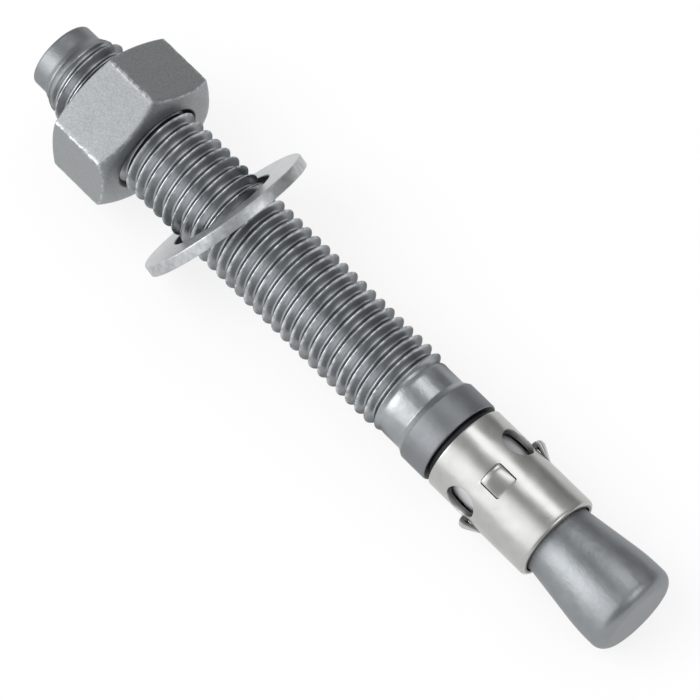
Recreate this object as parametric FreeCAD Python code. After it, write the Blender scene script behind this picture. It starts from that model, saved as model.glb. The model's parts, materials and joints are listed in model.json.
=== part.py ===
import FreeCAD, Part
import math
import os

from FreeCAD import Placement, Rotation, Vector

# Wedge anchor for a 3/4 inch hole: a stud with a cone at its end, a split clip round the
# neck above the cone, and a washer and a nut on the thread.
# Sizes are millimetres and angles are degrees. Each piece is built on the anchor's own axis:
# x runs from the nut end to the cone end, and an angle about it is counted from straight up
# towards +y. The last step lays the anchor down as it comes to rest.

# Stud, cold formed and rolled in one piece
stud_length = 158.75
point_radius = 7.3
point_length = 3.75
point_edge_chamfer = 0.5
point_root_round = 1.2
lead_in_length = 3.0
thread_radius = 9.4
runout_length = 0.9
shank_radius = 8.6
shank_length = 5.25
shoulder_length = 1.4
collar_radius = 9.4
collar_length = 6.2
collar_edge_chamfer = 0.5
neck_radius = 7.65
cone_relief = 0.7
cone_length = 13.8
cone_blend_round = 8.0
land_radius = 9.525
land_length = 3.95
end_round = 2.6

# Expansion clip, rolled from flat sheet
clip_length = 25.1
clip_sheet = 1.2
clip_play = 0.45
clip_gap = 1.25
clip_upper_chamfer = 0.2
clip_coined_length = 0.8
clip_coined_depth = 0.6
clip_seam_width = 1.6
clip_facing_angle = -21.0
window_radius = 3.35
window_centre = 8.0
window_angles = (-58.0, 58.0)
tab_angles = (-95.0, 0.0, 95.0)
tab_start = 8.95
tab_length = 5.1
tab_width = 4.85
tab_height = 1.85
tab_rise_length = 0.8
tab_crown_length = 0.9
tab_bend_round = 0.5
tab_wall = 0.95
shear_gap = 0.2

# Flat washer, blanked from plate
washer_inset = 46.85
washer_outer_radius = 18.25
washer_bore_play = 1.65
washer_thickness = 2.5
washer_rolled_edge = 0.45
washer_bore_edge = 0.5
washer_clearance = 0.05

# Hex nut
nut_inset = 12.7
nut_thickness = 14.9
nut_across_flats = 28.1
nut_bore_clearance = 0.1
nut_countersink = 0.35
nut_chamfer_inset = 0.55
nut_chamfer_angle = 29.0
nut_back_chamfer_angle = 20.0
nut_sides = 6

# Places along the stud, worked out from its two ends
land_start = stud_length - end_round - land_length
cone_start = land_start - cone_length
clip_end = cone_start - cone_relief
clip_start = clip_end - clip_length
collar_end = clip_start - clip_gap
collar_start = collar_end - collar_length
shank_end = collar_start - shoulder_length
shank_start = shank_end - shank_length
thread_end = shank_start - runout_length
thread_start = point_length + lead_in_length

# Radii and angles that follow from the fits
clip_inner_radius = neck_radius + clip_play
clip_outer_radius = clip_inner_radius + clip_sheet
nut_bore_radius = thread_radius + nut_bore_clearance
washer_bore_radius = thread_radius + washer_bore_play

origin = Vector(0, 0, 0)
along = Vector(1, 0, 0)
sideways = Vector(0, 1, 0)
full_turn = 360.0


def rounded_outline(corners):
    """Closed wire in the plane of the axis, through corners given as (x, radius, rounding)."""
    points = [Vector(x, 0, radius) for x, radius, _ in corners]
    arc_starts, arc_ends, edges = [], [], []
    for index, (_, _, rounding) in enumerate(corners):
        corner = points[index]
        back = (points[index - 1] - corner).normalize()
        ahead = (points[(index + 1) % len(points)] - corner).normalize()
        half_angle = back.getAngle(ahead) / 2
        reach = rounding / math.tan(half_angle)
        arc_starts.append(corner + back * reach)
        arc_ends.append(corner + ahead * reach)
        if rounding:
            inward = (back + ahead).normalize()
            middle = corner + inward * (rounding / math.sin(half_angle) - rounding)
            edges.append(Part.Arc(arc_starts[-1], middle, arc_ends[-1]).toShape())
    for index, arc_end in enumerate(arc_ends):
        next_start = arc_starts[(index + 1) % len(points)]
        edges.append(Part.LineSegment(arc_end, next_start).toShape())
    return Part.Wire(Part.__sortEdges__(edges))


def turned(corners, first_angle=0.0, sweep=full_turn):
    """Solid swept about the axis from an outline; the sweep runs from the first angle on."""
    face = Part.Face(rounded_outline(corners))
    solid = face.revolve(origin, along, sweep)
    return about_axis(solid, first_angle + sweep)


def about_axis(shape, angle):
    """The shape turned about the anchor's axis from straight up towards +y."""
    return shape.rotated(origin, along, -angle)


def make_stud():
    """Reduced point, thread blank, shank, collar, neck and cone, all turned as one outline."""
    return turned([
        (0, 0, 0),
        (0, point_radius - point_edge_chamfer, 0),
        (point_edge_chamfer, point_radius, 0),
        (point_length, point_radius, point_root_round),
        (thread_start, thread_radius, 0),
        (thread_end, thread_radius, 0),
        (shank_start, shank_radius, 0),
        (shank_end, shank_radius, 0),
        (collar_start, collar_radius, 0),
        (collar_end - collar_edge_chamfer, collar_radius, 0),
        (collar_end, collar_radius - collar_edge_chamfer, 0),
        (collar_end, neck_radius, 0),
        (cone_start, neck_radius, 0),
        (land_start, land_radius, cone_blend_round),
        (stud_length, land_radius, end_round),
        (stud_length, 0, 0),
    ])


def clip_tube():
    """The rolled sheet before it is pierced, with its lower edge coined inwards."""
    return turned([
        (clip_start, clip_inner_radius, 0),
        (clip_start, clip_outer_radius - clip_upper_chamfer, 0),
        (clip_start + clip_upper_chamfer, clip_outer_radius, 0),
        (clip_end - clip_coined_length, clip_outer_radius, 0),
        (clip_end, clip_outer_radius - clip_coined_depth, 0),
        (clip_end, clip_inner_radius, 0),
    ])


def window_cutter(angle):
    """Round punch through the sheet, pointing out from the axis."""
    centre = Vector(clip_start + window_centre, 0, 0)
    reach = clip_outer_radius + clip_sheet
    return about_axis(Part.makeCylinder(window_radius, reach, centre, Vector(0, 0, 1)), angle)


def tab_half_angle(gap):
    """Half the angle that a lanced tab takes up at the sheet's outside, with a gap each side."""
    return math.degrees((tab_width / 2 + gap) / clip_outer_radius)


def tab_cutter(angle):
    """The stretch of sheet that the tab is pushed out of, a shear gap wider on both sides."""
    start = clip_start + tab_start
    half_angle = tab_half_angle(shear_gap)
    return turned([
        (start, clip_inner_radius - clip_play / 2, 0),
        (start, clip_outer_radius + clip_sheet, 0),
        (start + tab_length, clip_outer_radius + clip_sheet, 0),
        (start + tab_length, clip_inner_radius - clip_play / 2, 0),
    ], angle - half_angle, 2 * half_angle)


def tab_bridge(angle):
    """A bridge of sheet standing out of the clip: steep towards the collar, then a long ramp
    towards the cone. Both ends stay joined to the clip and both sides are open."""
    start = clip_start + tab_start
    end = start + tab_length
    crown_start = start + tab_rise_length
    crown_end = crown_start + tab_crown_length
    crown_radius = clip_outer_radius + tab_height
    inner_crown_radius = crown_radius - tab_wall
    half_angle = tab_half_angle(0)
    return turned([
        (start, clip_inner_radius, 0),
        (start, clip_outer_radius, 0),
        (crown_start, crown_radius, tab_bend_round),
        (crown_end, crown_radius, tab_bend_round),
        (end, clip_outer_radius, 0),
        (end, clip_inner_radius, 0),
        (crown_end, inner_crown_radius, 0),
        (crown_start + tab_wall / 2, inner_crown_radius, 0),
    ], angle - half_angle, 2 * half_angle)


def make_clip():
    """Split tube with two round windows and three lanced tabs, and its seam at the back."""
    seam_height = clip_outer_radius + tab_height
    seam = Part.makeBox(
        clip_length + 2 * clip_gap, clip_seam_width, seam_height,
        Vector(clip_start - clip_gap, -clip_seam_width / 2, 0))
    cutters = [about_axis(seam, 180.0)]
    cutters += [window_cutter(angle) for angle in window_angles]
    cutters += [tab_cutter(angle) for angle in tab_angles]
    pierced = clip_tube().cut(cutters)
    bridges = [tab_bridge(angle) for angle in tab_angles]
    clip = pierced.fuse(bridges).removeSplitter()
    return about_axis(clip, clip_facing_angle)


def jamming_tilt(radius, offset):
    """Lean at which a bore's edge meets the thread, from the edge's radius and its distance
    from the middle of the washer's thickness."""
    jammed = math.acos((thread_radius + washer_clearance) / math.hypot(radius, offset))
    return math.degrees(jammed - math.atan2(offset, radius))


def washer_tilt():
    """The steepest lean at which both edges of the bore's chamfers still clear the thread."""
    half_thickness = washer_thickness / 2
    return min(
        jamming_tilt(washer_bore_radius, half_thickness - washer_bore_edge),
        jamming_tilt(washer_bore_radius + washer_bore_edge, half_thickness))


def make_washer():
    """Blanked ring: the die rolled over its rim's edge towards the nut, and both edges of the
    punched bore are broken."""
    nut_side = -washer_thickness / 2
    far_side = washer_thickness / 2
    washer = turned([
        (nut_side, washer_bore_radius + washer_bore_edge, 0),
        (nut_side, washer_outer_radius - washer_rolled_edge, 0),
        (nut_side + washer_rolled_edge, washer_outer_radius, 0),
        (far_side, washer_outer_radius, 0),
        (far_side, washer_bore_radius + washer_bore_edge, 0),
        (far_side - washer_bore_edge, washer_bore_radius, 0),
        (nut_side + washer_bore_edge, washer_bore_radius, 0),
    ])
    leaning = washer.rotated(origin, sideways, washer_tilt())
    return leaning.translated(Vector(washer_inset, 0, 0))


def make_nut():
    """Prism with a corner straight up and a countersunk bore. Both faces are chamfered, the
    one away from the washer at a flatter angle."""
    start = nut_inset
    end = nut_inset + nut_thickness
    corner_radius = nut_across_flats / 2 / math.cos(math.pi / nut_sides)
    corners = []
    for step in range(nut_sides):
        angle = 2 * math.pi * step / nut_sides
        corners.append(Vector(start, corner_radius * math.sin(angle), corner_radius * math.cos(angle)))
    outline = Part.makePolygon(corners + corners[:1])
    prism = Part.Face(outline).extrude(Vector(nut_thickness, 0, 0))
    face_radius = nut_across_flats / 2 - nut_chamfer_inset
    blank_radius = corner_radius + nut_chamfer_inset
    chamfer_width = blank_radius - face_radius
    chamfer_depth = chamfer_width * math.tan(math.radians(nut_chamfer_angle))
    back_chamfer_depth = chamfer_width * math.tan(math.radians(nut_back_chamfer_angle))
    envelope = turned([
        (start, 0, 0),
        (start, face_radius, 0),
        (start + back_chamfer_depth, blank_radius, 0),
        (end - chamfer_depth, blank_radius, 0),
        (end, face_radius, 0),
        (end, 0, 0),
    ])
    mouth_radius = nut_bore_radius + nut_countersink
    bore = turned([
        (start, 0, 0),
        (start, mouth_radius, 0),
        (start + nut_countersink, nut_bore_radius, 0),
        (end - nut_countersink, nut_bore_radius, 0),
        (end, mouth_radius, 0),
        (end, 0, 0),
    ])
    return prism.common(envelope).cut(bore)


def resting_slope():
    """Angle at which the axis dips towards the cone when the anchor lies on the washer's rim
    and the cone's rounded end."""
    tilt = math.radians(washer_tilt())
    half_thickness = washer_thickness / 2
    rim_x = washer_inset - washer_outer_radius * math.sin(tilt) + half_thickness * math.cos(tilt)
    rim_drop = washer_outer_radius * math.cos(tilt) + half_thickness * math.sin(tilt)
    round_x = stud_length - end_round
    round_drop = land_radius - end_round
    span = math.hypot(round_x - rim_x, rim_drop - round_drop)
    level = math.atan2(rim_drop - round_drop, round_x - rim_x)
    return math.degrees(level - math.asin(end_round / span))


def resting_height():
    """Height of the axis at x = 0 above the floor, taken from the cone's rounded end."""
    slope = math.radians(resting_slope())
    round_x = stud_length - end_round
    round_drop = land_radius - end_round
    return round_x * math.sin(slope) + round_drop * math.cos(slope) + end_round


def laid_down(pieces):
    """All pieces as they lie, with the origin on the floor under the middle of their box."""
    slope = resting_slope()
    leaning = {name: piece.rotated(origin, sideways, slope) for name, piece in pieces.items()}
    box = Part.makeCompound(list(leaning.values())).optimalBoundingBox(False, False)
    shift = Vector(-box.Center.x, -box.Center.y, resting_height())
    return {name: piece.translated(shift) for name, piece in leaning.items()}, slope, shift


pieces, slope, shift = laid_down({
    "anchor_stud": make_stud(),
    "expansion_clip": make_clip(),
    "flat_washer": make_washer(),
    "hex_nut": make_nut(),
})

os.makedirs("parts", exist_ok=True)
for name, piece in pieces.items():
    piece.exportStep(f"parts/{name}.step")
    print(name, "solids", len(piece.Solids), "valid", piece.isValid(), "volume", round(piece.Volume, 1))

# Places that the mounts and joints use, on the axis as it lies
lie_down = Placement(shift, Rotation(sideways, slope))
print("axis", lie_down.Rotation.multVec(along), "slope", round(slope, 4), "washer tilt", round(washer_tilt(), 3))
for label, x in [
    ("nut end", 0),
    ("nut face", nut_inset + nut_thickness),
    ("washer middle", washer_inset),
    ("collar end", collar_end),
    ("clip middle", (clip_start + clip_end) / 2),
    ("land middle", land_start + land_length / 2),
    ("cone end", stud_length),
]:
    print(label, x, lie_down.multVec(Vector(x, 0, 0)))
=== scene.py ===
import json
import math

import bpy
import bmesh
from mathutils import Matrix, Vector


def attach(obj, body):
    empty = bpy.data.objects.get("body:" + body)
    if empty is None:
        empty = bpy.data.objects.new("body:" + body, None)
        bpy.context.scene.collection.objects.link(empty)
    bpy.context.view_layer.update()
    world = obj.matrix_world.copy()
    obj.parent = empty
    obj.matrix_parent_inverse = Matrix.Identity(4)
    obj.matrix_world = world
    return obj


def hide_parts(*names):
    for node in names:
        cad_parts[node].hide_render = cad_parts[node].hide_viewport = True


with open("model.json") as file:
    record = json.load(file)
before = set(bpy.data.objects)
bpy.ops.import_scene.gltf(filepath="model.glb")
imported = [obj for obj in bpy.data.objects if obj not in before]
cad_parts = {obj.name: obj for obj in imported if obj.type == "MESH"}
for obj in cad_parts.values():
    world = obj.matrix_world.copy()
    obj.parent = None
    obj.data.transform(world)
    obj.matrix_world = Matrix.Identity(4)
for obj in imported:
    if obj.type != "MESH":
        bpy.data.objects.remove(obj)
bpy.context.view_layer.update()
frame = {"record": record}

# Sizes are millimetres on the anchor's own axis: x runs from the nut end to the cone end,
# and an angle turns right-handed about it, from straight up. MM takes them to metres.
MM = 0.001
FULL_TURN = 2 * math.pi
TOUCHING = 1e-6
FADE_SOFTNESS = 0.1
OUTLINE_STEP = 1.0
SHARP_ANGLE = math.radians(38)

# Stud
STUD_LENGTH = 158.75
POINT_RADIUS = 7.3
POINT_EDGE = 0.5
POINT_LENGTH = 3.6
POINT_DULLNESS = 0.7
WINDING_START = 0.8  # where the wound thread takes over from the turned point
LEAD_IN_KNEE = (5.3, 8.25)
LEAD_IN_SLOPE = 0.39
LEAD_IN_KNEE_SOFTNESS = 0.2
LEAD_IN_SOFTNESS = 0.15
THREAD_RADIUS = 9.4
THREAD_PITCH = 2.54
THREAD_FLANK_ANGLE = math.radians(30)
THREAD_CREST_ROUND = 0.17
THREAD_ROOT_ROUND = 0.42
THREAD_DEPTH = THREAD_PITCH / 2 / math.tan(THREAD_FLANK_ANGLE) - THREAD_CREST_ROUND - THREAD_ROOT_ROUND
THREAD_CREST_X = 76.74  # the reference crest, straight up
CRESTS_BEFORE = 30
THREAD_SOFTNESS = 0.12
THREAD_TURNS = 39
THREAD_COLUMNS = 108
RUNOUT_START = 96.5
RUNOUT_LENGTH = 2.2
RUNOUT_SOFTNESS = 0.25
SHANK_START = 102.6
SHANK_END = 103.8
SHANK_RADIUS = 8.6
SHANK_FILLET = 0.6
COLLAR_START = 105.2
COLLAR_END = 111.35
COLLAR_RADIUS = 9.4
COLLAR_EDGE = 0.4
NECK_RADIUS = 7.65
NECK_FILLET = 0.15
CONE_START = 138.4
CONE_EASING = 6.0
CONE_DULLNESS = 0.5
LAND_START = 152.2
LAND_RADIUS = 9.525
LAND_MIDDLE = 154.175
LAND_EASING = 45.0
END_ROUND = 2.6
END_HUB_RADIUS = 1.5

# Expansion clip
CLIP_START = 112.6
CLIP_END = 137.7
CLIP_INNER_RADIUS = 8.1
CLIP_OUTER_RADIUS = 9.3
CLIP_FACING_ANGLE = math.radians(21)
CLIP_SEAM_WIDTH = 1.6
CLIP_COINED_LENGTH = 0.8
CLIP_COINED_DEPTH = 0.6
CLIP_COINED_ROWS = (0, 0.3, 0.5, 0.65, 0.75)
CLIP_EDGE_ROUND = 0.14
CLIP_GRID = 0.35
CLIP_GRID_ACROSS = 0.45
WINDOW_ANGLES = (math.radians(-58), math.radians(58))
WINDOW_RADIUS = 3.35
WINDOW_CENTRE = 8.0
WINDOW_PATCH = 3.8  # half the side of the square that the window's rings fill
WINDOW_RINGS = (0.3, CLIP_EDGE_ROUND, CLIP_EDGE_ROUND / 2, 0.0)
TAB_START = 8.95
TAB_LENGTH = 4.9
TAB_CORNER = 0.7
TAB_FAR_CORNER = 0.35
TAB_HEIGHT = 1.8
TAB_SIDE_FALL = 0.22
TAB_SIDE_POWER = 2.5
TAB_FALL_SOFTNESS = 0.15
TAB_RISE = 0.8
TAB_CROWN = 0.5
TAB_RISE_TURNS = (15, 30, 45, 60, 72, 82, 90)  # degrees round the tab's steep end
TAB_WALL = 0.8
SHEAR_GAP = 0.24
SIDE_TAB_ANGLE = math.radians(97)
SIDE_TAB_WIDTH = 4.5
MIDDLE_TAB_WIDTH = 4.9
TABS = ((-SIDE_TAB_ANGLE, SIDE_TAB_WIDTH), (0.0, MIDDLE_TAB_WIDTH), (SIDE_TAB_ANGLE, SIDE_TAB_WIDTH))

# Washer
WASHER_INSET = 46.85
WASHER_OUTER_RADIUS = 18.25
WASHER_BORE_RADIUS = 11.05
WASHER_THICKNESS = 2.5
WASHER_DIE_ROUND = 0.45
WASHER_BURR_ROUND = 0.14
WASHER_BORE_ROUND = 0.3
WASHER_COLUMNS = 192
WASHER_RIM_WEAR = 0.4
# how far the painted shade in the bore reaches
WASHER_BORE_SHADE = 0.3
WASHER_TILT = math.radians(27.55)

# Nut
NUT_START = 12.7
NUT_END = 27.6
NUT_ACROSS_FLATS = 28.1
NUT_CORNER_ROUND = 0.5
NUT_BORE_RADIUS = 9.5
NUT_COUNTERSINK = 0.35
NUT_MINOR_RADIUS = 8.35
NUT_FACE_RADIUS = 13.5
NUT_CHAMFER_ANGLE = math.radians(29)
NUT_BACK_CHAMFER_ANGLE = math.radians(20)
NUT_EDGE_SOFTNESS = 0.3
NUT_FACE_SOFTNESS = 0.5
NUT_THREAD_CLEARANCE = 0.08
NUT_THREAD_SOFTNESS = 0.1
NUT_COUNTERSINK_SOFTNESS = 0.08
NUT_CORNER_COLUMNS = (0.004, 0.012, 0.02, 0.028, 0.036, 0.05)  # radians from the corner
NUT_FLAT_COLUMNS = 9
NUT_FLAT_ROWS = (24.0, 21.5, 19.0, 16.5, 15.0)
NUT_BORE_GRID = 0.16
NUT_CHAMFER_GRID = 0.35
NUT_CHAMFER_OVERRUN = 0.6
NUT_BODY_CLEARANCE = 1.0
NUT_SECTOR = FULL_TURN / 6
NUT_MOUTH_RADIUS = NUT_BORE_RADIUS + NUT_COUNTERSINK
NUT_CORNER_WEAR = 0.45
NUT_CORNER_WEAR_FADE = 0.8
NUT_CHAMFER_WEAR = 0.3
NUT_CHAMFER_WEAR_SHARE = 0.6

# The anchor's axis as it lies and its nut end, from the record's mount at the cone's land
cone_land = next(m for m in frame["record"]["mounts"] if m["name"] == "drilled_hole")
axis = Vector(cone_land["axis"]).normalized()
sideways = Vector((0, 1, 0))
upwards = axis.cross(sideways)
nut_end = Vector(cone_land["pos_m"]) - axis * LAND_MIDDLE * MM
lying = Matrix((axis, sideways, upwards)).transposed().to_4x4()
lying.translation = nut_end


def on_axis(x, radius, angle):
    """The point at a distance along the axis, a radius from it and an angle about it."""
    return (x, -radius * math.sin(angle), radius * math.cos(angle))


def ramp(t, softness):
    """0 before t = 0, 1 after t = 1, straight between, with rounded corners."""
    return (math.hypot(t, softness) + t - math.hypot(t - 1, softness) - (t - 1)) / 2


def eased(t, softness):
    """0 up to t = 0 and 1 from t = 1, with the ramp's rounded corners between."""
    t = min(1.0, max(0.0, t))
    low, high = ramp(0.0, softness), ramp(1.0, softness)
    return (ramp(t, softness) - low) / (high - low)


def fade_in(value, start, end):
    """0 up to the start and 1 from the end."""
    return eased((value - start) / (end - start), FADE_SOFTNESS)


def soft_min(a, b, softness):
    """The smaller of two values, with a rounded turn where one takes over from the other."""
    return (a + b - math.hypot(a - b, softness)) / 2


def soft_max(a, b, softness):
    """The larger of two values, with a rounded turn where one takes over from the other."""
    return (a + b + math.hypot(a - b, softness)) / 2


def spaced(marks, step):
    """The marks, with evenly spaced values between them no further apart than the step."""
    values = [marks[0]]
    for low, high in zip(marks, marks[1:]):
        count = max(1, math.ceil((high - low) / step - TOUCHING))
        values += [low + (high - low) * i / count for i in range(1, count + 1)]
    return values


def outline(corners, arc_steps=6):
    """Points (x, radius) along an open outline; each corner is (x, radius, rounding)."""
    points = []
    for index, (x, radius, rounding) in enumerate(corners):
        corner = Vector((x, radius))
        if not rounding:
            points.append(corner)
            continue
        back = (Vector(corners[index - 1][:2]) - corner).normalized()
        ahead = (Vector(corners[index + 1][:2]) - corner).normalized()
        half = back.angle(ahead) / 2
        centre = corner + (back + ahead).normalized() * rounding / math.sin(half)
        start = (corner + back * rounding / math.tan(half) - centre).normalized()
        end = (corner + ahead * rounding / math.tan(half) - centre).normalized()
        points += [centre + start.slerp(end, i / arc_steps) * rounding for i in range(arc_steps + 1)]
    filled = [points[0]]
    for start, end in zip(points, points[1:]):
        count = max(1, math.ceil((end - start).length / OUTLINE_STEP))
        filled += [start.lerp(end, i / count) for i in range(1, count + 1)]
    return [(p.x, p.y) for p in filled]


def add_ring(points, x, radius, angles):
    """Adds a round row of points, and gives their numbers in the mesh."""
    first = len(points)
    points.extend(on_axis(x, radius, angle) for angle in angles)
    return list(range(first, len(points)))


def add_band(faces, ring, next_ring):
    """Joins two rings of as many points with a band of faces."""
    for i in range(len(ring)):
        j = (i + 1) % len(ring)
        faces.append((ring[i], next_ring[i], next_ring[j], ring[j]))


def add_cap(points, faces, ring, x):
    """Closes a ring flat with a point on the axis."""
    centre = len(points)
    points.append((x, 0, 0))
    faces.extend((ring[i], ring[(i + 1) % len(ring)], centre) for i in range(len(ring)))


def make_piece(name, points, faces, place, marks):
    """A closed mesh from points in millimetres, with its place in its points. A mark, such as
    wear, says from 0 to 1 for each point how much of it the finish has there."""
    mesh = bpy.data.meshes.new(name)
    mesh.from_pydata([[c * MM for c in p] for p in points], [], faces)
    shell = bmesh.new()
    shell.from_mesh(mesh)
    bmesh.ops.recalc_face_normals(shell, faces=shell.faces)
    shell.to_mesh(mesh)
    shell.free()
    mesh.transform(place)
    mesh.shade_smooth()
    mesh.set_sharp_from_angle(angle=SHARP_ANGLE)
    for mark, values in marks.items():
        mesh.attributes.new(mark, "FLOAT", "POINT").data.foreach_set("value", values)
    piece = bpy.data.objects.new(name, mesh)
    bpy.context.scene.collection.objects.link(piece)
    return piece


# Stud

CREST_EDGE = THREAD_CREST_ROUND * math.cos(THREAD_FLANK_ANGLE) / THREAD_PITCH
ROOT_EDGE = THREAD_ROOT_ROUND * math.cos(THREAD_FLANK_ANGLE) / THREAD_PITCH
CREST_STEP = 0.03
FLANK_STEP = 0.12
ROOT_STEP = 0.05


def thread_rows():
    """The mesh's rows across one pitch, as phases from crest to crest: close together over the
    crests and the root, and further apart down the flanks."""
    rows = [0.0]
    for end, step in ((CREST_EDGE, CREST_STEP), (0.5 - ROOT_EDGE, FLANK_STEP),
                      (0.5 + ROOT_EDGE, ROOT_STEP), (1.0 - CREST_EDGE, FLANK_STEP), (1.0, CREST_STEP)):
        rows += spaced([rows[-1], end], step)[1:]
    return rows[:-1]


def thread_radius(phase):
    """Radius of the rolled thread at a phase, where whole phases are its crests: a small round
    at the crest, a straight flank and a fuller round at the root."""
    off_crest = abs(phase - round(phase)) * THREAD_PITCH
    off_root = THREAD_PITCH / 2 - off_crest
    if off_crest < CREST_EDGE * THREAD_PITCH:
        return THREAD_RADIUS - THREAD_CREST_ROUND + math.sqrt(THREAD_CREST_ROUND ** 2 - off_crest ** 2)
    if off_root < ROOT_EDGE * THREAD_PITCH:
        bottom = THREAD_RADIUS - THREAD_DEPTH
        return bottom + THREAD_ROOT_ROUND - math.sqrt(THREAD_ROOT_ROUND ** 2 - off_root ** 2)
    down_flank = (off_crest - CREST_EDGE * THREAD_PITCH) / math.tan(THREAD_FLANK_ANGLE)
    return THREAD_RADIUS - THREAD_CREST_ROUND * (1 - math.sin(THREAD_FLANK_ANGLE)) - down_flank


def thread_phase(x, angle):
    """Turns of the thread from its reference crest: a whole number all along the crest."""
    return (x - THREAD_CREST_X) / THREAD_PITCH - angle / FULL_TURN


def stud_thread_radius(x, angle):
    """The thread between its lead-in on the reduced point and its runout on the shank."""
    knee_x, knee_radius = LEAD_IN_KNEE
    first_slope = (knee_radius - POINT_RADIUS) / (knee_x - POINT_LENGTH)
    flare = soft_min(POINT_RADIUS + first_slope * (x - POINT_LENGTH),
                     knee_radius + LEAD_IN_SLOPE * (x - knee_x), LEAD_IN_KNEE_SOFTNESS)
    blank = soft_max(POINT_RADIUS, flare, LEAD_IN_SOFTNESS)
    radius = soft_min(thread_radius(thread_phase(x, angle)), blank, THREAD_SOFTNESS)
    fade = ramp((x - RUNOUT_START) / RUNOUT_LENGTH, RUNOUT_SOFTNESS)
    return radius + (SHANK_RADIUS - radius) * fade


def add_thread(points, faces, ring_before, ring_after):
    """A strip wound up the stud so that its edges follow the crests, sewn to a ring at each
    end. Columns advance a little along the axis as they go round."""
    start_x = THREAD_CREST_X - THREAD_PITCH * CRESTS_BEFORE
    rows = thread_rows()
    columns = []
    last = THREAD_TURNS * THREAD_COLUMNS
    for n in range(last + THREAD_COLUMNS + 1):
        angle = FULL_TURN * n / THREAD_COLUMNS
        column = []
        for row in rows if n <= last else rows[:1]:
            x = start_x + THREAD_PITCH * (n / THREAD_COLUMNS + row)
            column.append(len(points))
            points.append(on_axis(x, stud_thread_radius(x, angle), angle))
        columns.append(column)
    for n in range(last + 1):
        columns[n].append(columns[n + THREAD_COLUMNS][0])
    for n in range(last):
        here, there = columns[n], columns[n + 1]
        for k in range(len(rows)):
            faces.append((here[k], here[k + 1], there[k + 1], there[k]))
    for n in range(THREAD_COLUMNS):
        following = (n + 1) % THREAD_COLUMNS
        faces.append((ring_before[n], columns[n][0], columns[n + 1][0], ring_before[following]))
        faces.append((columns[last + n][0], ring_after[n], ring_after[following],
                      columns[last + n + 1][0]))
    for k in range(len(rows)):
        faces.append((ring_before[0], columns[0][k], columns[0][k + 1]))
        faces.append((ring_after[0], columns[last][k], columns[last][k + 1]))


# How far each finish and each painted light and shade of the stud take to give way to the next, and how
# deep its crests are rubbed
POINT_FADE = 2.0
RUNOUT_FADE = 5.0
COLLAR_FADE = 0.4
NECK_FADE = 0.6
# the painted shade in the gap beside the collar fades in over this
GAP_SHADE_FADE = 0.05
CONE_FADE = 3.0
RUBBED_DEPTH = 0.3


def stud_marks(points):
    """Where the stud is rolled, rubbed, matt, painted pale under the clip as painted light, and painted
    dark beside the collar as painted shade.
    """
    runout_end = RUNOUT_START + RUNOUT_LENGTH
    marks = {"rolled": [], "crest": [], "matt": [], "neck": [], "painted_gap_shade": []}
    for x, y, z in points:
        past_point = fade_in(x, POINT_LENGTH, POINT_LENGTH + POINT_FADE)
        past_runout = fade_in(x, runout_end, runout_end + RUNOUT_FADE)
        on_collar = fade_in(x, COLLAR_START - COLLAR_FADE, COLLAR_START)
        past_collar = fade_in(x, COLLAR_END - GAP_SHADE_FADE, COLLAR_END)
        under_clip = fade_in(x, CLIP_START, CLIP_START + NECK_FADE)
        past_clip = fade_in(x, CLIP_END - NECK_FADE, CLIP_END)
        on_cone = fade_in(x, CONE_START, CONE_START + CONE_FADE)
        on_crest = fade_in(math.hypot(y, z), THREAD_RADIUS - RUBBED_DEPTH, THREAD_RADIUS)
        rolled = past_point - past_runout
        marks["rolled"].append(rolled)
        marks["crest"].append(rolled * on_crest)
        marks["matt"].append(POINT_DULLNESS * (1 - past_point) + on_collar - (1 - CONE_DULLNESS) * on_cone)
        # the neck under the clip is painted pale: painted light
        marks["neck"].append(under_clip - past_clip)
        # the neck in the gap beside the collar is painted dark: painted shade
        marks["painted_gap_shade"].append(past_collar - under_clip)
    return marks


def make_stud():
    """The point and the shank with all below it as turned rings, and the thread wound between."""
    points, faces = [], []
    angles = [FULL_TURN * i / THREAD_COLUMNS for i in range(THREAD_COLUMNS)]
    point_rows = outline([
        (0, END_HUB_RADIUS, 0),
        (0, POINT_RADIUS, POINT_EDGE),
        (WINDING_START, POINT_RADIUS, 0),
    ])
    lower_rows = outline([
        (SHANK_START, SHANK_RADIUS, 0),
        (SHANK_END, SHANK_RADIUS, SHANK_FILLET),
        (COLLAR_START, COLLAR_RADIUS, COLLAR_EDGE),
        (COLLAR_END, COLLAR_RADIUS, COLLAR_EDGE),
        (COLLAR_END, NECK_RADIUS, NECK_FILLET),
        (CONE_START, NECK_RADIUS, CONE_EASING),
        (LAND_START, LAND_RADIUS, LAND_EASING),
        (STUD_LENGTH, LAND_RADIUS, END_ROUND),
        (STUD_LENGTH, END_HUB_RADIUS, 0),
    ], arc_steps=8)
    point_rings = [add_ring(points, x, radius, angles) for x, radius in point_rows]
    lower_rings = [add_ring(points, x, radius, angles) for x, radius in lower_rows]
    for rings in (point_rings, lower_rings):
        for ring, next_ring in zip(rings, rings[1:]):
            add_band(faces, ring, next_ring)
    add_cap(points, faces, point_rings[0], 0)
    add_cap(points, faces, lower_rings[-1], STUD_LENGTH)
    add_thread(points, faces, point_rings[-1], lower_rings[0])
    return make_piece("stud", points, faces, lying, stud_marks(points))


# Expansion clip

def edge_drop(distance):
    """How far a sheet edge's rounding falls below the sheet at a distance from the edge."""
    inside = max(0.0, CLIP_EDGE_ROUND - max(0.0, distance))
    return CLIP_EDGE_ROUND - math.sqrt(CLIP_EDGE_ROUND ** 2 - inside ** 2)


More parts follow.
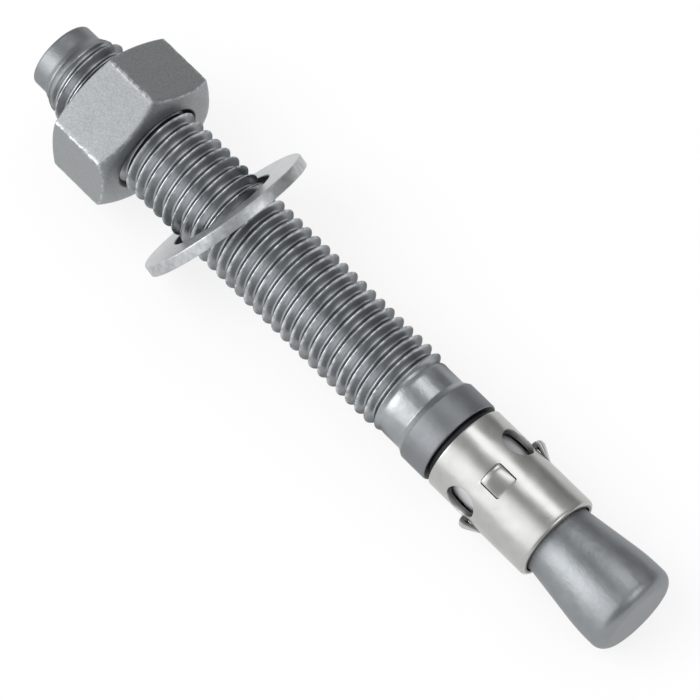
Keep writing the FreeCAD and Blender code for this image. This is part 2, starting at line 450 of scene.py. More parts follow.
def tab_lift(x, share):
    """Height of the lanced tab's bridge at x: a steep end that rounds over to a crown, then a
    long ramp. It is domed across, where the share runs from -1 at one side to 1 at the other."""
    past_start = x - CLIP_START - TAB_START
    ramp_length = TAB_LENGTH - TAB_RISE - TAB_CROWN
    before_crown = min(1.0, max(0.0, 1 - past_start / TAB_RISE))
    rise = math.sqrt(1 - before_crown ** 2)
    fall = eased((past_start - TAB_RISE - TAB_CROWN) / ramp_length, TAB_FALL_SOFTNESS)
    return TAB_HEIGHT * (rise - fall) * (1 - TAB_SIDE_FALL * abs(share) ** TAB_SIDE_POWER)


def tab_inset(x):
    """How far the tab's rounded corners draw its sides in, beside each of its ends."""
    past_start = x - CLIP_START - TAB_START
    inset = 0.0
    for radius, from_end in ((TAB_CORNER, past_start), (TAB_FAR_CORNER, TAB_LENGTH - past_start)):
        short = radius - max(0.0, from_end)
        if short > 0:
            inset += radius - math.sqrt(radius ** 2 - short ** 2)
    return inset


def raised(radius, off_middle, lift):
    """Radius and angle from the tab's middle of a point of the sheet that is pushed straight out."""
    angle = off_middle / CLIP_OUTER_RADIUS
    out = radius * math.cos(angle) + lift
    return math.hypot(radius * math.sin(angle), out), math.atan2(radius * math.sin(angle), out)


def clip_section(across, x, hole_distance):
    """Radius and angle of the clip's outer face and of its inner face, at a place on its
    unrolled sheet. A lanced tab keeps its width as it rises."""
    sheet = CLIP_OUTER_RADIUS - CLIP_INNER_RADIUS
    outer = (CLIP_OUTER_RADIUS, across / CLIP_OUTER_RADIUS)
    inner = (CLIP_INNER_RADIUS, across / CLIP_OUTER_RADIUS)
    for tab_angle, tab_width in TABS:
        half_tab = tab_width / 2
        off_tab = across - tab_angle * CLIP_OUTER_RADIUS
        along_tab = -TOUCHING < x - CLIP_START - TAB_START < TAB_LENGTH + TOUCHING
        if not along_tab or abs(off_tab) > half_tab + SHEAR_GAP + TOUCHING:
            continue
        if abs(off_tab) > half_tab + SHEAR_GAP / 2:
            drawn_in = (off_tab - math.copysign(tab_inset(x), off_tab)) / CLIP_OUTER_RADIUS
            outer = (CLIP_OUTER_RADIUS, tab_angle + drawn_in)
            inner = (CLIP_INNER_RADIUS, tab_angle + drawn_in)
        else:
            share = off_tab / half_tab
            lift = tab_lift(x, share)
            wall = sheet + (TAB_WALL - sheet) * min(1.0, lift)
            off_middle = share * (half_tab - tab_inset(x))
            drop = edge_drop(half_tab - abs(off_tab)) * min(1.0, lift)
            radius, angle = raised(CLIP_OUTER_RADIUS, off_middle, lift - drop)
            outer = (radius, tab_angle + angle)
            radius, angle = raised(CLIP_OUTER_RADIUS - wall, off_middle, lift)
            inner = (radius, tab_angle + angle)
    drop = edge_drop(x - CLIP_START) + edge_drop(hole_distance)
    if x > CLIP_END - CLIP_COINED_LENGTH:
        t = (x - CLIP_END + CLIP_COINED_LENGTH) / CLIP_COINED_LENGTH
        just_short = 0.999
        drop += CLIP_COINED_DEPTH * (1 - math.sqrt(1 - t * t * just_short))
    outer = (outer[0] - drop, outer[1] + CLIP_FACING_ANGLE)
    return outer, (inner[0], inner[1] + CLIP_FACING_ANGLE)


# The sheet unrolled at its outer face; places across it count from the middle tab
FLAT_HALF_WIDTH = math.pi * CLIP_OUTER_RADIUS - CLIP_SEAM_WIDTH / 2
FLAT_TABS = [(angle * CLIP_OUTER_RADIUS, width / 2) for angle, width in TABS]
FLAT_WINDOWS = [angle * CLIP_OUTER_RADIUS for angle in WINDOW_ANGLES]
WINDOW_X = CLIP_START + WINDOW_CENTRE
TAB_X = CLIP_START + TAB_START
COINED_X = CLIP_END - CLIP_COINED_LENGTH


def clip_grid():
    """The grid's lines across the unrolled sheet and its lines along it. They follow the tabs,
    the slits beside them, the patches round the windows and both ends."""
    across = [-FLAT_HALF_WIDTH, FLAT_HALF_WIDTH]
    for middle, half in FLAT_TABS:
        for edge in (half - CLIP_EDGE_ROUND, half - CLIP_EDGE_ROUND / 2, half, half + SHEAR_GAP):
            across += [middle - edge, middle + edge]
    for middle in FLAT_WINDOWS:
        across += [middle - WINDOW_PATCH, middle + WINDOW_PATCH]
    along = [CLIP_START, CLIP_START + CLIP_EDGE_ROUND / 2, CLIP_START + CLIP_EDGE_ROUND]
    along += [WINDOW_X - WINDOW_PATCH, WINDOW_X + WINDOW_PATCH]
    along += [TAB_X, TAB_X + TAB_RISE + TAB_CROWN, TAB_X + TAB_LENGTH - TAB_FAR_CORNER / 2,
              TAB_X + TAB_LENGTH]
    along += [TAB_X + TAB_RISE * (1 - math.cos(math.radians(turn))) for turn in TAB_RISE_TURNS]
    along += [COINED_X + past for past in CLIP_COINED_ROWS] + [CLIP_END]
    return spaced(sorted(across), CLIP_GRID_ACROSS), spaced(sorted(along), CLIP_GRID)


def in_window_patch(across, x):
    return any(abs(across - middle) < WINDOW_PATCH and abs(x - WINDOW_X) < WINDOW_PATCH
               for middle in FLAT_WINDOWS)


def in_slit(across, x):
    beside = any(0 < abs(across - middle) - half < SHEAR_GAP for middle, half in FLAT_TABS)
    return beside and TAB_X < x < TAB_X + TAB_LENGTH


def unrolled_clip():
    """The unrolled sheet's points, each with its distance from a window's edge, and its cells:
    a grid with open slits beside each tab and a round patch of rings for each window."""
    across_lines, x_lines = clip_grid()
    flat, cells, grid = [], [], {}
    for i, across in enumerate(across_lines):
        for j, x in enumerate(x_lines):
            grid[i, j] = len(flat)
            flat.append((across, x, math.inf))
    for i in range(len(across_lines) - 1):
        for j in range(len(x_lines) - 1):
            across = (across_lines[i] + across_lines[i + 1]) / 2
            x = (x_lines[j] + x_lines[j + 1]) / 2
            if not in_window_patch(across, x) and not in_slit(across, x):
                cells.append((grid[i, j], grid[i + 1, j], grid[i + 1, j + 1], grid[i, j + 1]))
    for middle in FLAT_WINDOWS:
        centre = Vector((middle, WINDOW_X))
        columns = [i for i, s in enumerate(across_lines) if abs(s - middle) < WINDOW_PATCH + TOUCHING]
        rows = [j for j, x in enumerate(x_lines) if abs(x - WINDOW_X) < WINDOW_PATCH + TOUCHING]
        border = [(i, rows[0]) for i in columns[:-1]] + [(columns[-1], j) for j in rows[:-1]]
        border += [(i, rows[-1]) for i in columns[:0:-1]] + [(columns[0], j) for j in rows[:0:-1]]
        ring = [grid[place] for place in border]
        for distance in WINDOW_RINGS:
            next_ring = []
            for i, j in border:
                ray = Vector((across_lines[i], x_lines[j])) - centre
                hole = centre + ray.normalized() * (WINDOW_RADIUS + distance)
                next_ring.append(len(flat))
                flat.append((hole.x, hole.y, distance))
            for k in range(len(ring)):
                n = (k + 1) % len(ring)
                cells.append((ring[k], ring[n], next_ring[n], next_ring[k]))
            ring = next_ring
    return flat, cells


def make_clip():
    """The sheet rolled up, with an outer and an inner face that are joined along every edge."""
    flat, cells = unrolled_clip()
    points, faces = [], []
    for across, x, hole_distance in flat:
        outer, inner = clip_section(across, x, hole_distance)
        points += [on_axis(x, *outer), on_axis(x, *inner)]
    open_edges = {}  # edges of one cell only, in the order of the cells
    for cell in cells:
        faces.append(tuple(2 * v for v in cell))
        faces.append(tuple(2 * v + 1 for v in reversed(cell)))
        for k in range(4):
            start, end = cell[k], cell[(k + 1) % 4]
            if (end, start) in open_edges:
                del open_edges[end, start]
            else:
                open_edges[start, end] = True
    for start, end in open_edges:
        faces.append((2 * end, 2 * start, 2 * start + 1, 2 * end + 1))
    used = sorted({v for face in faces for v in face})
    renumbered = {old: new for new, old in enumerate(used)}
    points = [points[v] for v in used]
    faces = [tuple(renumbered[v] for v in face) for face in faces]
    # the inside mark covers the inner face and the walls, which get painted shade
    return make_piece("clip", points, faces, lying, {"inside": [float(v % 2) for v in used]})


# Washer

def make_washer():
    """A flat ring, round at the edge where the die went in and sharp where it came out, that
    leans on the thread."""
    points, faces = [], []
    half = WASHER_THICKNESS / 2
    angles = [FULL_TURN * i / WASHER_COLUMNS for i in range(WASHER_COLUMNS)]
    middle = (WASHER_BORE_RADIUS + WASHER_OUTER_RADIUS) / 2
    rows = outline([
        (-half, middle, 0),
        (-half, WASHER_OUTER_RADIUS, WASHER_DIE_ROUND),
        (half, WASHER_OUTER_RADIUS, WASHER_BURR_ROUND),
        (half, WASHER_BORE_RADIUS, WASHER_BORE_ROUND),
        (-half, WASHER_BORE_RADIUS, WASHER_BORE_ROUND),
        (-half, middle, 0),
    ])
    rings = [add_ring(points, x, radius, angles) for x, radius in rows[:-1]]
    for ring, next_ring in zip(rings, rings[1:] + rings[:1]):
        add_band(faces, ring, next_ring)
    radii = [math.hypot(y, z) for x, y, z in points]
    worn = WASHER_OUTER_RADIUS - WASHER_RIM_WEAR
    # the painted shade in the bore reaches this far
    bore_shade_edge = WASHER_BORE_RADIUS + WASHER_BORE_SHADE
    marks = {
        "wear": [fade_in(radius, worn, WASHER_OUTER_RADIUS) for radius in radii],
        "bore": [1 - fade_in(radius, WASHER_BORE_RADIUS, bore_shade_edge) for radius in radii],
    }
    lean = Matrix.Rotation(WASHER_TILT, 4, "Y")
    place = lying @ Matrix.Translation((WASHER_INSET * MM, 0, 0)) @ lean
    return make_piece("washer", points, faces, place, marks)


# Nut

def angle_off_corner(angle):
    """How far an angle is from the nut's nearest corner; one corner is straight up."""
    return abs(angle - round(angle / NUT_SECTOR) * NUT_SECTOR)


def hexagon_radius(angle):
    """Radius of a hexagon with a corner straight up and its corners rounded."""
    apothem = NUT_ACROSS_FLATS / 2
    inner_apothem = apothem - NUT_CORNER_ROUND
    off_corner = angle_off_corner(angle)
    round_centre = inner_apothem / math.cos(NUT_SECTOR / 2)
    round_ends = NUT_SECTOR / 2 - math.atan(inner_apothem * math.tan(NUT_SECTOR / 2) / apothem)
    if off_corner < round_ends:
        height = round_centre * math.sin(off_corner)
        return round_centre * math.cos(off_corner) + math.sqrt(NUT_CORNER_ROUND ** 2 - height ** 2)
    return apothem / math.cos(NUT_SECTOR / 2 - off_corner)


def nut_angles():
    """Columns round the nut, closer together over each rounded corner."""
    on_flat = NUT_CORNER_COLUMNS[-1]
    step = (NUT_SECTOR / 2 - on_flat) / NUT_FLAT_COLUMNS
    offsets = list(NUT_CORNER_COLUMNS) + [on_flat + step * i for i in range(1, NUT_FLAT_COLUMNS)]
    one_side = [0.0] + offsets + [NUT_SECTOR / 2] + [NUT_SECTOR - offset for offset in offsets[::-1]]
    return [side * NUT_SECTOR + offset for side in range(6) for offset in one_side]


def nut_bore_radius(x, angle):
    """The nut's own thread inside, opened out by the countersinks at both faces."""
    own_thread = thread_radius(thread_phase(x, angle)) + NUT_THREAD_CLEARANCE
    cut = soft_max(own_thread, NUT_MINOR_RADIUS, NUT_THREAD_SOFTNESS)
    countersink = NUT_MOUTH_RADIUS - min(x - NUT_START, NUT_END - x)
    return soft_max(cut, countersink, NUT_COUNTERSINK_SOFTNESS)


def nut_wear(envelope, angle):
    """The nut's corners are rubbed below its chamfers, and the chamfers' edges a little less."""
    hexagon = hexagon_radius(angle)
    below_chamfer = ramp((envelope - hexagon) / NUT_CORNER_WEAR_FADE, FADE_SOFTNESS)
    corner = math.exp(-(angle_off_corner(angle) * hexagon / NUT_CORNER_WEAR) ** 2) * below_chamfer
    edge = NUT_CHAMFER_WEAR_SHARE * math.exp(-((envelope - hexagon) / NUT_CHAMFER_WEAR) ** 2)
    return max(corner, edge)


def make_nut():
    """The bore as rings between the two faces, then the outside: a turned body with a dished
    chamfer at each end, cut to the hexagon."""
    points, faces, rings = [], [], []
    angles = nut_angles()
    for x in spaced([NUT_START, NUT_END], NUT_BORE_GRID):
        first = len(points)
        points.extend(on_axis(x, nut_bore_radius(x, angle), angle) for angle in angles)
        rings.append(list(range(first, len(points))))
    wear = [0.0] * len(points)
    # the bore is painted dark all through: painted shade
    bore = [1.0] * len(points)
    corner = NUT_ACROSS_FLATS / math.sqrt(3)
    chamfer_radii = spaced([NUT_MOUTH_RADIUS, NUT_FACE_RADIUS, corner + NUT_CHAMFER_OVERRUN],
                           NUT_CHAMFER_GRID)
    body = []
    for end, inward, slope in ((NUT_END, -1, math.tan(NUT_CHAMFER_ANGLE)),
                               (NUT_START, 1, math.tan(NUT_BACK_CHAMFER_ANGLE))):
        side = []
        for radius in chamfer_radii[1:]:
            rise = (radius - NUT_FACE_RADIUS) * slope
            drop = (rise + math.hypot(rise, NUT_FACE_SOFTNESS)) / 2
            side.append((end + inward * drop, radius))
        body += side if inward < 0 else side[::-1]
        if inward < 0:
            body += [(x, corner + NUT_BODY_CLEARANCE) for x in NUT_FLAT_ROWS]
    for x, envelope in body:
        first = len(points)
        points.extend(on_axis(x, soft_min(hexagon_radius(angle), envelope, NUT_EDGE_SOFTNESS), angle)
                      for angle in angles)
        rings.append(list(range(first, len(points))))
        wear += [nut_wear(envelope, angle) for angle in angles]
    for ring, next_ring in zip(rings, rings[1:] + rings[:1]):
        add_band(faces, ring, next_ring)
    bore += [0.0] * (len(points) - len(bore))
    return make_piece("nut", points, faces, lying, {"wear": wear, "bore": bore})


# Materials

def linear(hex_colour):
    """An sRGB hex colour as linear red, green, blue and alpha."""
    channels = [int(hex_colour[i:i + 2], 16) / 255 for i in (1, 3, 5)]
    return tuple(c / 12.92 if c <= 0.04045 else ((c + 0.055) / 1.055) ** 2.4 for c in channels) + (1.0,)


def add_node(tree, kind, inputs=None, **settings):
    """Adds a node. Each input is a fixed value or the socket that feeds it. A colour Mix node has
    its two colours at inputs 6 and 7 and their mix at output 2."""
    node = tree.nodes.new(kind)
    for name, value in settings.items():
        setattr(node, name, value)
    for name, value in (inputs or {}).items():
        if isinstance(value, bpy.types.NodeSocket):
            tree.links.new(value, node.inputs[name])
        else:
            node.inputs[name].default_value = value
    return node


def start_material(name):
    """A new material's tree, and its places in metres on the anchor's own axis."""
    material = bpy.data.materials.new(name)
    material.use_nodes = True
    tree = material.node_tree
    tree.nodes.clear()
    at_rest = add_node(tree, "ShaderNodeTexCoord").outputs["Object"]
    place = add_node(tree, "ShaderNodeMapping", {
        "Vector": at_rest, "Location": nut_end, "Rotation": lying.to_euler()}, vector_type="TEXTURE")
    return material, tree, place.outputs["Vector"]


def end_material(tree, colour, roughness, normal, grazing=(1, 1, 1, 1)):
    """The shader of a metal; grazing tints what it reflects at its edges."""
    shader = add_node(tree, "ShaderNodeBsdfPrincipled", {
        "Base Color": colour, "Metallic": 1.0, "Roughness": roughness, "Normal": normal,
        "Specular Tint": grazing})
    add_node(tree, "ShaderNodeOutputMaterial", {"Surface": shader.outputs["BSDF"]})


def zinc_plated_cold_formed_steel():
    """Cold-formed steel under electroplated zinc. The die leaves shallow dents, 1.6 mm across,
    and faint lines along the stud, 0.6 mm apart, so its bands of light have soft, broken edges.
    The rolled thread is burnished brighter, most of all where its crests are rubbed, and a grey
    grazing tint darkens its edges as painted shade. The collar and the neck are matt, and the point
    and the cone less so. Under the clip the neck is painted pale, a painted light, and in the gap
    beside the collar it is painted dark, a painted shade."""
    material, tree, place = start_material("zinc_plated_cold_formed_steel")
    cloud = add_node(tree, "ShaderNodeTexNoise", {"Vector": place, "Scale": 1 / (4 * MM), "Detail": 4.0})
    drawn = add_node(tree, "ShaderNodeMapping", {
        "Vector": place, "Scale": (1 / (5 * MM), 1 / (0.6 * MM), 1 / (0.6 * MM))})
    lines = add_node(tree, "ShaderNodeTexNoise", {
        "Vector": drawn.outputs["Vector"], "Scale": 1.0, "Detail": 2.0})
    dents = add_node(tree, "ShaderNodeTexNoise", {"Vector": place, "Scale": 1 / (1.6 * MM), "Detail": 2.0})
    # The zinc's own grain is too fine to show, so it is drawn at 0.35 mm
    grain = add_node(tree, "ShaderNodeTexNoise", {"Vector": place, "Scale": 1 / (0.35 * MM), "Detail": 2.0})
    tone = add_node(tree, "ShaderNodeMix", {
        "Factor": cloud.outputs["Fac"], 6: linear("#868A8D"), 7: linear("#ABAEB1")}, data_type="RGBA")
    rolled = add_node(tree, "ShaderNodeAttribute", attribute_name="rolled")
    burnished = add_node(tree, "ShaderNodeMix", {
        "Factor": cloud.outputs["Fac"], 6: linear("#92969A"), 7: linear("#B3B6B8")}, data_type="RGBA")
    thread = add_node(tree, "ShaderNodeMix", {
        "Factor": rolled.outputs["Fac"], 6: tone.outputs[2], 7: burnished.outputs[2]}, data_type="RGBA")
    matt = add_node(tree, "ShaderNodeAttribute", attribute_name="matt")
    dull = add_node(tree, "ShaderNodeMix", {
        "Factor": cloud.outputs["Fac"], 6: linear("#797C7F"), 7: linear("#8E9194")}, data_type="RGBA")
    collar = add_node(tree, "ShaderNodeMix", {
        "Factor": matt.outputs["Fac"], 6: thread.outputs[2], 7: dull.outputs[2]}, data_type="RGBA")
    rubbed = add_node(tree, "ShaderNodeAttribute", attribute_name="crest")
    broken = add_node(tree, "ShaderNodeMapRange", {
        "Value": dents.outputs["Fac"], "From Min": 0.4, "From Max": 0.58})
    worn = add_node(tree, "ShaderNodeMath", {
        0: rubbed.outputs["Fac"], 1: broken.outputs["Result"]}, operation="MULTIPLY")
    crests = add_node(tree, "ShaderNodeMix", {
        "Factor": worn.outputs[0], 6: collar.outputs[2], 7: linear("#E0E2E4")}, data_type="RGBA")
    # Painted light: the neck under the clip is painted pale, as if lit inside the windows
    under_clip = add_node(tree, "ShaderNodeAttribute", attribute_name="neck")
    painted_neck_light = add_node(tree, "ShaderNodeMix", {
        "Factor": under_clip.outputs["Fac"], 6: crests.outputs[2], 7: linear("#CBCCCD")}, data_type="RGBA")
    # Painted shade: the neck in the gap between the collar and the clip is painted dark
    painted_gap_shade = add_node(tree, "ShaderNodeAttribute", attribute_name="painted_gap_shade")
    colour = add_node(tree, "ShaderNodeMix", {
        "Factor": painted_gap_shade.outputs["Fac"], 6: painted_neck_light.outputs[2], 7: linear("#464749")}, data_type="RGBA")
    sheen = add_node(tree, "ShaderNodeMapRange", {
        "Value": cloud.outputs["Fac"], "To Min": 0.24, "To Max": 0.4})
    duller = add_node(tree, "ShaderNodeMath", {
        0: matt.outputs["Fac"], 1: 0.16, 2: sheen.outputs["Result"]}, operation="MULTIPLY_ADD")
    low = add_node(tree, "ShaderNodeBump", {
        "Height": dents.outputs["Fac"], "Strength": 1.0, "Distance": 0.065 * MM})
    middle = add_node(tree, "ShaderNodeBump", {
        "Height": lines.outputs["Fac"], "Strength": 1.0, "Distance": 0.02 * MM,
        "Normal": low.outputs["Normal"]})
    fine = add_node(tree, "ShaderNodeBump", {
        "Height": grain.outputs["Fac"], "Strength": 1.0, "Distance": 0.014 * MM,
        "Normal": middle.outputs["Normal"]})
    # Painted shade: a grey grazing tint darkens the rolled thread's edges
    painted_edge_shade = add_node(tree, "ShaderNodeMix", {
        "Factor": rolled.outputs["Fac"], 6: linear("#EAEAEA"), 7: linear("#8C8C8C")}, data_type="RGBA")
    end_material(tree, colour.outputs[2], duller.outputs[0], fine.outputs["Normal"], painted_edge_shade.outputs[2])
    return material


def zinc_plated_hot_formed_steel():
    """A hot-formed nut under matt zinc: a fine grit that sparkles faintly, with corners rubbed
    bright in patches of about 1 mm. The bore is painted dark, a painted shade."""
    material, tree, place = start_material("zinc_plated_hot_formed_steel")
    cloud = add_node(tree, "ShaderNodeTexNoise", {"Vector": place, "Scale": 1 / (3.5 * MM), "Detail": 3.0})
    # The grit is too fine to show, about 0.1 mm, so it is drawn at 0.36 mm
    grit = add_node(tree, "ShaderNodeTexNoise", {"Vector": place, "Scale": 1 / (0.36 * MM), "Detail": 3.0})
    specks = add_node(tree, "ShaderNodeMapRange", {
        "Value": grit.outputs["Fac"], "From Min": 0.35, "From Max": 0.7})
    tone = add_node(tree, "ShaderNodeMix", {
        "Factor": specks.outputs["Result"], 6: linear("#8E9193"), 7: linear("#A0A3A5")}, data_type="RGBA")
    broken = add_node(tree, "ShaderNodeTexNoise", {"Vector": place, "Scale": 1 / (1.1 * MM), "Detail": 2.0})
    patchy = add_node(tree, "ShaderNodeMapRange", {
        "Value": broken.outputs["Fac"], "From Min": 0.42, "From Max": 0.62})
    wear = add_node(tree, "ShaderNodeAttribute", attribute_name="wear")
    rubbed = add_node(tree, "ShaderNodeMath", {
        0: patchy.outputs["Result"], 1: wear.outputs["Fac"]}, operation="MULTIPLY")
    outside = add_node(tree, "ShaderNodeMix", {
        "Factor": rubbed.outputs[0], 6: tone.outputs[2], 7: linear("#D2D4D5")}, data_type="RGBA")
    # Painted shade: the bore is painted dark
    bore = add_node(tree, "ShaderNodeAttribute", attribute_name="bore")
    colour = add_node(tree, "ShaderNodeMix", {
        "Factor": bore.outputs["Fac"], 6: outside.outputs[2], 7: linear("#3C3D3F")}, data_type="RGBA")
    sheen = add_node(tree, "ShaderNodeMapRange", {
        "Value": cloud.outputs["Fac"], "To Min": 0.4, "To Max": 0.52})
    shiny = add_node(tree, "ShaderNodeMath", {
        0: rubbed.outputs[0], 1: -0.25, 2: sheen.outputs["Result"]}, operation="MULTIPLY_ADD")
    bump = add_node(tree, "ShaderNodeBump", {
        "Height": grit.outputs["Fac"], "Strength": 1.0, "Distance": 0.014 * MM})
    end_material(tree, colour.outputs[2], shiny.outputs[0], bump.outputs["Normal"])
    return material


def zinc_plated_stamped_steel():
    """A washer stamped from plate under zinc: brighter than the nut, with an even face. The
    sheared rim is streaked in pale and dark every millimetre or so, and the bore is painted dark as shade."""
    material, tree, place = start_material("zinc_plated_stamped_steel")
    cloud = add_node(tree, "ShaderNodeTexNoise", {"Vector": place, "Scale": 1 / (2.5 * MM), "Detail": 2.0})
    even = add_node(tree, "ShaderNodeMix", {
        "Factor": cloud.outputs["Fac"], 6: linear("#BDC0C2"), 7: linear("#D5D8D9")}, data_type="RGBA")
    streak = add_node(tree, "ShaderNodeTexNoise", {"Vector": place, "Scale": 1 / (1.2 * MM), "Detail": 3.0})
    patch = add_node(tree, "ShaderNodeMapRange", {
        "Value": streak.outputs["Fac"], "From Min": 0.3, "From Max": 0.7})
    streaked = add_node(tree, "ShaderNodeMix", {
        "Factor": patch.outputs["Result"], 6: linear("#A0A3A5"), 7: linear("#C0C3C5")}, data_type="RGBA")
    rubbed = add_node(tree, "ShaderNodeAttribute", attribute_name="wear")
    outside = add_node(tree, "ShaderNodeMix", {
        "Factor": rubbed.outputs["Fac"], 6: even.outputs[2], 7: streaked.outputs[2]}, data_type="RGBA")
    # Painted shade: the bore is painted dark
    bore = add_node(tree, "ShaderNodeAttribute", attribute_name="bore")
    colour = add_node(tree, "ShaderNodeMix", {
        "Factor": bore.outputs["Fac"], 6: outside.outputs[2], 7: linear("#3C3D3F")}, data_type="RGBA")
    sheen = add_node(tree, "ShaderNodeMapRange", {
        "Value": streak.outputs["Fac"], "To Min": 0.42, "To Max": 0.32})
    # The plate's grain is too fine to show, about 0.1 mm, so it is drawn at 0.5 mm
    grain = add_node(tree, "ShaderNodeTexNoise", {"Vector": place, "Scale": 1 / (0.5 * MM), "Detail": 3.0})
    bump = add_node(tree, "ShaderNodeBump", {
        "Height": grain.outputs["Fac"], "Strength": 1.0, "Distance": 0.014 * MM})
    end_material(tree, colour.outputs[2], sheen.outputs["Result"], bump.outputs["Normal"])
    return material


def rolled_stainless_sheet():
    """Cold-rolled stainless sheet: brighter and a more neutral grey than the zinc, with fine
    rolling lines round the clip that soften its bands of light, and faint waves 4.5 mm long.
    Its sheared walls and its inner face are duller, and painted darker as shade."""
    material, tree, place = start_material("rolled_stainless_sheet")
    cloud = add_node(tree, "ShaderNodeTexNoise", {"Vector": place, "Scale": 1 / (3 * MM), "Detail": 3.0})
    tone = add_node(tree, "ShaderNodeMix", {
        "Factor": cloud.outputs["Fac"], 6: linear("#A6A6A5"), 7: linear("#BEBEBC")}, data_type="RGBA")
    # Painted shade: the sheared walls and the inner face are painted darker; they are also rougher
    inside = add_node(tree, "ShaderNodeAttribute", attribute_name="inside")
    sheared = add_node(tree, "ShaderNodeMapRange", {"Value": inside.outputs["Fac"], "From Max": 0.6})
    colour = add_node(tree, "ShaderNodeMix", {
        "Factor": sheared.outputs["Result"], 6: tone.outputs[2], 7: linear("#7A7A7B")}, data_type="RGBA")
    # The rolling lines are too fine to show, so they are drawn 0.35 mm apart
    rolled = add_node(tree, "ShaderNodeMapping", {
        "Vector": place, "Scale": (1 / (0.35 * MM), 1 / (3 * MM), 1 / (3 * MM))})
    lines = add_node(tree, "ShaderNodeTexNoise", {
        "Vector": rolled.outputs["Vector"], "Scale": 1.0, "Detail": 2.0})
    sheen = add_node(tree, "ShaderNodeMapRange", {
        "Value": cloud.outputs["Fac"], "To Min": 0.24, "To Max": 0.34})
    duller = add_node(tree, "ShaderNodeMath", {
        0: sheared.outputs["Result"], 1: 0.2, 2: sheen.outputs["Result"]}, operation="MULTIPLY_ADD")
    swell = add_node(tree, "ShaderNodeTexNoise", {"Vector": place, "Scale": 1 / (4.5 * MM), "Detail": 0.5})
    waves = add_node(tree, "ShaderNodeBump", {
        "Height": swell.outputs["Fac"], "Strength": 1.0, "Distance": 0.16 * MM})
    bump = add_node(tree, "ShaderNodeBump", {
        "Height": lines.outputs["Fac"], "Strength": 1.0, "Distance": 0.006 * MM,
        "Normal": waves.outputs["Normal"]})
    end_material(tree, colour.outputs[2], duller.outputs[0], bump.outputs["Normal"])
    return material


stud = make_stud()
clip = make_clip()
washer = make_washer()
nut = make_nut()

for piece, body, node_name, slot_name, material in [
    (stud, "stud", "anchor_stud", "zinc_plated_stud", zinc_plated_cold_formed_steel()),
    (clip, "clip", "expansion_clip", "stainless_clip", rolled_stainless_sheet()),
    (washer, "washer", "flat_washer", "zinc_plated_washer", zinc_plated_stamped_steel()),
    (nut, "nut", "hex_nut", "zinc_plated_nut", zinc_plated_hot_formed_steel()),
]:
    piece.data.materials.append(material)
    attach(piece, body)
    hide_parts(node_name)


# Studio

PICTURE_WIDTH = 700
VIEW_TILT = math.radians(17.0)
VIEW_ROUND = math.radians(21.0)
VIEW_DISTANCE = 920 * MM
SENSOR_WIDTH = 36
PIXELS_PER_MM = 5.295
PICTURE_ANGLE = math.radians(44.295)
REFERENCE_X = 76.32  # the place on the axis that shows at the reference pixel
REFERENCE_PIXEL = (331.3, 317.9)


def make_camera():
    """The photograph's camera: it looks down on the anchor, from the cone's side of square."""
    facing = upwards * math.cos(VIEW_ROUND) - sideways * math.sin(VIEW_ROUND)
    to_camera = axis * math.sin(VIEW_TILT) + facing * math.cos(VIEW_TILT)
    seen_along = (axis - to_camera * axis.dot(to_camera)).normalized()
    seen_across = to_camera.cross(seen_along)
    right = seen_along * math.cos(PICTURE_ANGLE) + seen_across * math.sin(PICTURE_ANGLE)
    above = to_camera.cross(right)
    reference = nut_end + axis * REFERENCE_X * MM
    data = bpy.data.cameras.new("camera")
    data.sensor_width = SENSOR_WIDTH
    focal_pixels = PIXELS_PER_MM * VIEW_DISTANCE / MM
    data.lens = SENSOR_WIDTH * focal_pixels / PICTURE_WIDTH
    middle = PICTURE_WIDTH / 2
    offset = (right * (middle - REFERENCE_PIXEL[0]) + above * (REFERENCE_PIXEL[1] - middle)) / focal_pixels
    camera = bpy.data.objects.new("camera", data)
    bpy.context.scene.collection.objects.link(camera)
    camera.location = reference + to_camera * VIEW_DISTANCE
    # Turned a little, so that the reference place falls on its pixel
    back = (to_camera - offset).normalized()
    right = (right - back * right.dot(back)).normalized()
    camera.matrix_world = Matrix.Translation(camera.location) @ Matrix(
        (right, back.cross(right), back)).transposed().to_4x4()
    bpy.context.scene.camera = camera


FLOOR_HALF = 3.0
FLOOR_WHITENESS = 0.8


def make_floor():
    """A pale floor that shows nearly white, but keeps the anchor's shadow."""
    mesh = bpy.data.meshes.new("floor")
    corners = [(-FLOOR_HALF, -FLOOR_HALF, 0), (FLOOR_HALF, -FLOOR_HALF, 0),
               (FLOOR_HALF, FLOOR_HALF, 0), (-FLOOR_HALF, FLOOR_HALF, 0)]
    mesh.from_pydata(corners, [], [(0, 1, 2, 3)])
    floor = bpy.data.objects.new("floor", mesh)
    bpy.context.scene.collection.objects.link(floor)
    material = bpy.data.materials.new("pale_floor")
    material.use_nodes = True
    tree = material.node_tree
    tree.nodes.clear()
    path = add_node(tree, "ShaderNodeLightPath")
    paint = add_node(tree, "ShaderNodeBsdfDiffuse", {"Color": linear("#F8F8F8")})
    white = add_node(tree, "ShaderNodeEmission", {"Color": (1, 1, 1, 1), "Strength": 1.0})
    direct = add_node(tree, "ShaderNodeMath", {
        0: path.outputs["Is Camera Ray"], 1: path.outputs["Is Glossy Ray"]}, operation="MAXIMUM")
    seen = add_node(tree, "ShaderNodeMath", {
        0: direct.outputs[0], 1: path.outputs["Is Transmission Ray"]}, operation="MAXIMUM")
    share = add_node(tree, "ShaderNodeMath", {
        0: seen.outputs[0], 1: FLOOR_WHITENESS}, operation="MULTIPLY")
    surface = add_node(tree, "ShaderNodeMixShader", {
        0: share.outputs[0], 1: paint.outputs[0], 2: white.outputs[0]})
    add_node(tree, "ShaderNodeOutputMaterial", {"Surface": surface.outputs[0]})
    mesh.materials.append(material)


